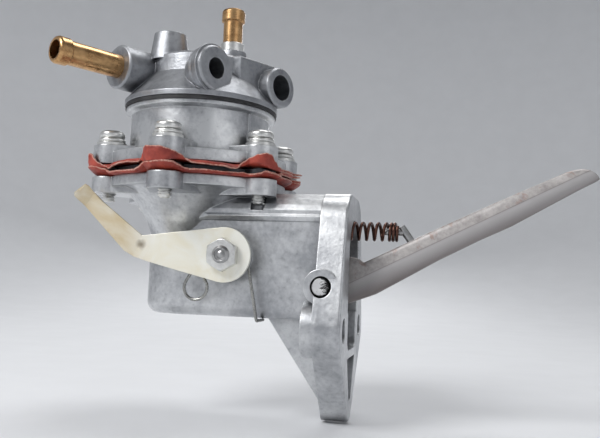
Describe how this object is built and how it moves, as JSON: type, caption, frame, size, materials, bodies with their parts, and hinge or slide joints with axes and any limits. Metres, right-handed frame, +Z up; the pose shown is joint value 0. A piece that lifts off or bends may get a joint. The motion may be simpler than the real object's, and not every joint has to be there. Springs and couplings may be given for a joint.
{
  "type": "mechanical fuel pump",
  "caption": "Lever-driven diaphragm fuel pump with a bolted flange, a hand priming lever, sprung valves and brass hose tubes.",
  "frame": {"origin": "midpoint of the two mounting bolt holes, on the mounting face", "axes": "+X out of the mounting face, the way the rocker lever points; -Y the side of the hand lever; +Z up along the diaphragm axis, towards the head cover"},
  "size_m": [0.1858, 0.0851, 0.1496],
  "materials": {
    "lower_casting": "bright satin die casting",
    "upper_casting": "bright satin casting",
    "cover_casting": "bright satin casting",
    "zinc": "zinc plated",
    "brass": "drawn tube",
    "sheet": "rubberised cloth",
    "seal": "black rubber",
    "spacer": "dull ring",
    "steel": "plain steel",
    "lever": "grey phosphated forging",
    "strip": "passivated strip, cream",
    "spring": "dark oiled wire",
    "wire": "bright wire",
    "bronze": "bush bronze",
    "copper": "soft copper"
  },
  "bodies": {
    "housing": {"lower_body": "lower_casting", "upper_body": "upper_casting", "head_cover": "cover_casting", "cover_seal": "seal", "cover_screw": "zinc", "cover_washer": "copper", "inlet_tube": "brass", "return_tube": "brass", "return_collar": "zinc", "flange_screws": "zinc", "spring_washers": "zinc", "flat_washers": "zinc", "fuel_sheet": "sheet", "oil_sheet": "sheet", "spacer_ring": "spacer", "rod_seal": "seal", "seal_cup": "steel", "diaphragm_spring": "spring", "pivot_pin": "steel", "rocker_spring": "spring", "hand_spring": "wire", "strainer": "brass", "inlet_seat": "brass", "outlet_seat": "brass", "inlet_cage": "brass", "outlet_cage": "brass", "inlet_valve_spring": "wire", "outlet_valve_spring": "wire"},
    "rocker": {"rocker_arm": "lever", "hub_bush": "bronze", "spring_peg": "steel"},
    "link": {"link_lever": "steel"},
    "diaphragm": {"pull_rod": "steel", "upper_plate": "steel", "inner_spacer": "spacer", "lower_plate": "steel", "rod_nut": "zinc"},
    "primer": {"hand_shaft": "steel", "shaft_seal": "seal", "hand_nut": "zinc", "hand_lever": "strip"},
    "inlet_valve": {"inlet_disc": "steel"},
    "outlet_valve": {"outlet_disc": "steel"}
  },
  "joints": [
    {"name": "rocker_swing", "type": "hinge", "parent": "housing", "child": "rocker", "pos_m": [-0.0075, 0, 0.0142], "axis": [0, -1, 0], "range_deg": [0, 6], "stiffness_Nm_per_rad": 1.2, "springref_deg": -8.59, "deforming": ["rocker_spring"]},
    {"name": "link_swing", "type": "hinge", "parent": "housing", "child": "link", "pos_m": [-0.0075, 0, 0.0142], "axis": [0, -1, 0], "range_deg": [0, 6]},
    {"name": "diaphragm_pull", "type": "slide", "parent": "housing", "child": "diaphragm", "axis": [0, 0, -1], "range_m": [0, 0.0056], "stiffness_N_per_m": 300, "springref_m": -0.004, "deforming": ["diaphragm_spring", "fuel_sheet", "oil_sheet"]},
    {"name": "primer_swing", "type": "hinge", "parent": "housing", "child": "primer", "pos_m": [-0.0414, 0, 0.0238], "axis": [0, -1, 0], "range_deg": [0, 35], "stiffness_Nm_per_rad": 0.08, "springref_deg": -28.65, "deforming": ["hand_spring"]},
    {"name": "inlet_lift", "type": "slide", "parent": "housing", "child": "inlet_valve", "axis": [0, 0, -1], "range_m": [0, 0.0012], "stiffness_N_per_m": 40, "springref_m": -0.002, "deforming": ["inlet_valve_spring"]},
    {"name": "outlet_lift", "type": "slide", "parent": "housing", "child": "outlet_valve", "axis": [0, 0, 1], "range_m": [0, 0.0012], "stiffness_N_per_m": 40, "springref_m": -0.002, "deforming": ["outlet_valve_spring"]}
  ],
  "couplings": [
    {"joint": "link_swing", "follows": "rocker_swing", "ratio": 1},
    {"joint": "diaphragm_pull", "follows": "rocker_swing", "m_per_rad": 0.053}
  ]
}
